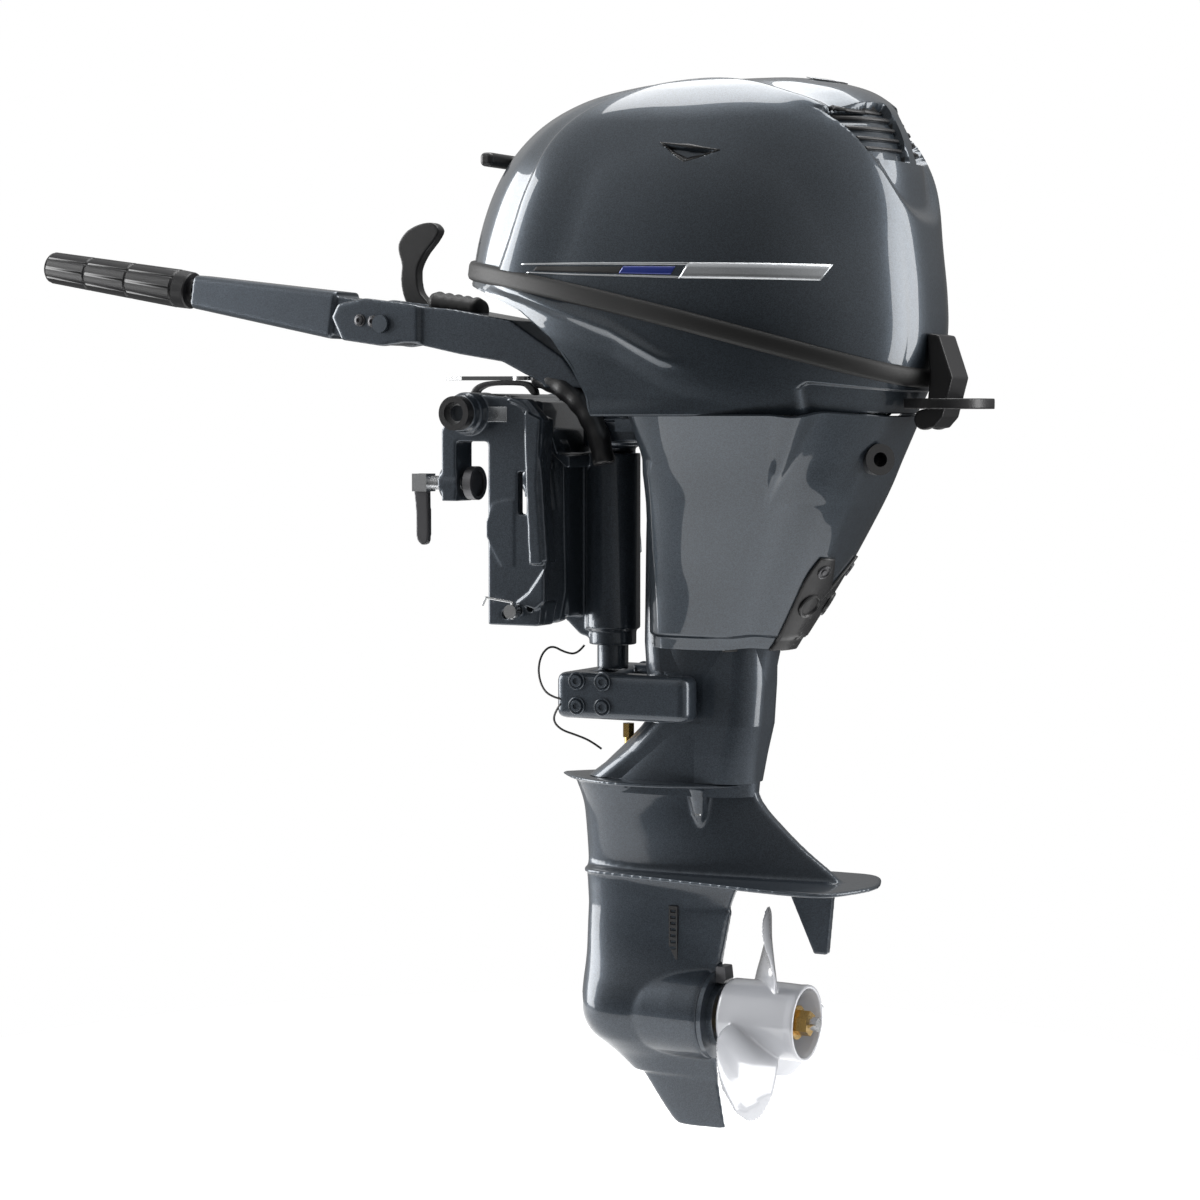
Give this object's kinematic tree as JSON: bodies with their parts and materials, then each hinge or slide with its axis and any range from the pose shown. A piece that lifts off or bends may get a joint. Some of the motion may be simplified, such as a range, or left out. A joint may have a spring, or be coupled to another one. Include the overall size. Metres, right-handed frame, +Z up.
{
  "type": "outboard motor",
  "caption": "Portable tiller-steered outboard motor with clamp bracket, tilting swivel, lift-off cowl, long leg with anti-ventilation plate, skeg and three-blade propeller.",
  "frame": {"origin": "on the centreline, where the top edge and the aft face of the boat's transom meet under the clamp bracket", "axes": "+X aft, +Y starboard, +Z up"},
  "size_m": [1.0941, 0.327, 1.048],
  "materials": {
    "paint": "gloss metallic paint",
    "painted_casting": "die cast, gloss metallic paint",
    "black_plastic": "satin moulded",
    "rubber": "matte",
    "steel": "stainless",
    "zinc": "cast",
    "black_metal": "satin black",
    "cast_alloy": "cast",
    "gear_steel": "machined",
    "brass": "machined",
    "pearl_white": "pearl white enamel",
    "nylon": "natural",
    "wire": "satin"
  },
  "bodies": {
    "clamp_bracket": {"clamp_bracket_port": "painted_casting", "clamp_bracket_starboard": "painted_casting", "tilt_tube": "steel", "tilt_tube_nuts": "black_plastic"},
    "port_clamp_pad": {"port_clamp_pad": "black_metal"},
    "port_clamp_screw": {"port_clamp_screw": "steel"},
    "port_clamp_handle": {"port_clamp_handle": "black_metal"},
    "starboard_clamp_pad": {"starboard_clamp_pad": "black_metal"},
    "starboard_clamp_screw": {"starboard_clamp_screw": "steel"},
    "starboard_clamp_handle": {"starboard_clamp_handle": "black_metal"},
    "trim_pin": {"trim_pin": "steel"},
    "trim_pin_bail": {"trim_pin_bail": "steel"},
    "swivel_bracket": {"swivel_bracket": "painted_casting", "swivel_bushes": "nylon"},
    "tilt_support_lever": {"tilt_support_lever": "steel"},
    "steering_friction_lever": {"steering_friction_lever": "steel"},
    "motor": {"steering_bracket": "painted_casting", "tiller_pivot_bolt": "steel", "bottom_cowl": "paint", "cowl_seal": "rubber", "rear_handle": "black_plastic", "apron": "paint", "flush_fitting": "black_plastic", "exhaust_outlets": "black_plastic", "upper_case": "painted_casting", "lower_mount_cover": "painted_casting", "mount_rubbers": "rubber", "mount_bolts": "steel", "gearcase": "painted_casting", "gearcase_bolts": "steel", "water_inlet_screens": "black_plastic", "gearcase_anode": "zinc", "bearing_carrier": "painted_casting", "engine_block": "cast_alloy", "cylinder_head": "cast_alloy", "recoil_starter": "black_plastic", "water_pump_housing": "cast_alloy", "case_ground_lead": "wire", "steering_ground_lead": "wire"},
    "trim_tab": {"trim_tab": "painted_casting"},
    "drive_train": {"driveshaft": "steel", "pinion_gear": "gear_steel", "pump_impeller": "rubber", "crankshaft": "gear_steel", "flywheel": "gear_steel"},
    "forward_gear": {"forward_gear": "gear_steel"},
    "reverse_gear": {"reverse_gear": "gear_steel"},
    "propeller_shaft": {"propeller_shaft": "steel", "propeller": "pearl_white", "propeller_bush": "rubber", "propeller_fasteners": "brass"},
    "dog_clutch": {"dog_clutch": "gear_steel"},
    "shift_rod": {"shift_rod": "brass"},
    "shift_lever": {"shift_lever": "black_plastic"},
    "tiller": {"tiller_arm": "painted_casting"},
    "throttle_grip": {"throttle_grip": "rubber"},
    "top_cowl": {"top_cowl": "paint", "air_intakes": "black_plastic"},
    "cowl_latch": {"cowl_latch": "black_plastic"},
    "starter_handle": {"starter_handle": "black_plastic"}
  },
  "joints": [
    {"name": "tilt", "type": "hinge", "parent": "clamp_bracket", "child": "swivel_bracket", "pos_m": [-0.02, 0, 0.028], "axis": [0, -1, 0], "range_deg": [0, 65]},
    {"name": "steering", "type": "hinge", "parent": "swivel_bracket", "child": "motor", "pos_m": [0.088, 0, 0], "axis": [0, 0, 1], "range_deg": [-40, 40], "deforming": ["steering_ground_lead"]},
    {"name": "tiller_fold", "type": "hinge", "parent": "motor", "child": "tiller", "pos_m": [-0.15, -0.028, 0.12], "axis": [0, 1, 0], "range_deg": [0, 95]},
    {"name": "throttle_twist", "type": "hinge", "parent": "tiller", "child": "throttle_grip", "pos_m": [-0.15, -0.028, 0.12], "axis": [-0.9882, 0, 0.153], "range_deg": [0, 90]},
    {"name": "shift_lever_swing", "type": "hinge", "parent": "motor", "child": "shift_lever", "pos_m": [-0.142, 0.018, 0.138], "axis": [0, 1, 0], "range_deg": [-20.5, 20.5]},
    {"name": "shift_rod_slide", "type": "slide", "parent": "motor", "child": "shift_rod", "axis": [0, 0, 1], "range_m": [-0.0038, 0.0038]},
    {"name": "drive_spin", "type": "hinge", "parent": "motor", "child": "drive_train", "pos_m": [0.156, 0, -0.575], "axis": [0, 0, 1], "continuous": true},
    {"name": "forward_gear_spin", "type": "hinge", "parent": "motor", "child": "forward_gear", "pos_m": [0.156, 0, -0.575], "axis": [1, 0, 0], "continuous": true},
    {"name": "reverse_gear_spin", "type": "hinge", "parent": "motor", "child": "reverse_gear", "pos_m": [0.156, 0, -0.575], "axis": [1, 0, 0], "continuous": true},
    {"name": "propeller_spin", "type": "hinge", "parent": "motor", "child": "propeller_shaft", "pos_m": [0.156, 0, -0.575], "axis": [1, 0, 0], "continuous": true},
    {"name": "clutch_slide", "type": "slide", "parent": "propeller_shaft", "child": "dog_clutch", "axis": [1, 0, 0], "range_m": [-0.0045, 0.0045]},
    {"name": "trim_tab_turn", "type": "hinge", "parent": "motor", "child": "trim_tab", "pos_m": [0.306, 0, -0.438], "axis": [0, 0, 1], "range_deg": [-15, 15]},
    {"name": "cowl_lift", "type": "slide", "parent": "motor", "child": "top_cowl", "axis": [0, 0, 1], "range_m": [0, 0.32]},
    {"name": "latch_swing", "type": "hinge", "parent": "motor", "child": "cowl_latch", "pos_m": [0.433, 0, 0.022], "axis": [0, 1, 0], "range_deg": [0, 27]},
    {"name": "starter_pull", "type": "slide", "parent": "top_cowl", "child": "starter_handle", "axis": [-1, 0, 0], "range_m": [0, 1.1], "stiffness_N_per_m": 8, "springref_m": -0.3},
    {"name": "trim_pin_slide", "type": "slide", "parent": "clamp_bracket", "child": "trim_pin", "axis": [0, -1, 0], "range_m": [0, 0.225]},
    {"name": "trim_bail_swing", "type": "hinge", "parent": "trim_pin", "child": "trim_pin_bail", "pos_m": [0.034, -0.112, -0.168], "axis": [0, 0, 1], "range_deg": [0, 90]},
    {"name": "tilt_support_swing", "type": "hinge", "parent": "swivel_bracket", "child": "tilt_support_lever", "pos_m": [0.04, -0.058, -0.024], "axis": [0, 1, 0], "range_deg": [-20, 60]},
    {"name": "steering_friction_swing", "type": "hinge", "parent": "swivel_bracket", "child": "steering_friction_lever", "pos_m": [-0.016, 0, 0.064], "axis": [0, 0, 1], "range_deg": [-20, 20]},
    {"name": "port_clamp_slide", "type": "slide", "parent": "clamp_bracket", "child": "port_clamp_pad", "axis": [1, 0, 0], "range_m": [-0.002, 0.017]},
    {"name": "port_clamp_turn", "type": "hinge", "parent": "port_clamp_pad", "child": "port_clamp_screw", "pos_m": [-0.05, -0.085, -0.042], "axis": [1, 0, 0], "range_deg": [-216, 2376]},
    {"name": "port_handle_swing", "type": "hinge", "parent": "port_clamp_screw", "child": "port_clamp_handle", "pos_m": [-0.086, -0.085, -0.042], "axis": [0, 1, 0], "range_deg": [-5, 95]},
    {"name": "starboard_clamp_slide", "type": "slide", "parent": "clamp_bracket", "child": "starboard_clamp_pad", "axis": [1, 0, 0], "range_m": [-0.002, 0.017]},
    {"name": "starboard_clamp_turn", "type": "hinge", "parent": "starboard_clamp_pad", "child": "starboard_clamp_screw", "pos_m": [-0.05, 0.085, -0.042], "axis": [1, 0, 0], "range_deg": [-216, 2376]},
    {"name": "starboard_handle_swing", "type": "hinge", "parent": "starboard_clamp_screw", "child": "starboard_clamp_handle", "pos_m": [-0.086, 0.085, -0.042], "axis": [0, 1, 0], "range_deg": [-5, 95]}
  ],
  "couplings": [
    {"joint": "forward_gear_spin", "follows": "drive_spin", "ratio": 0.48148},
    {"joint": "reverse_gear_spin", "follows": "drive_spin", "ratio": -0.48148},
    {"joint": "shift_lever_swing", "follows": "shift_rod_slide", "rad_per_m": 91.859},
    {"joint": "clutch_slide", "follows": "shift_rod_slide", "ratio": -1},
    {"joint": "port_clamp_slide", "follows": "port_clamp_turn", "m_per_rad": 0.00039789},
    {"joint": "starboard_clamp_slide", "follows": "starboard_clamp_turn", "m_per_rad": 0.00039789}
  ]
}
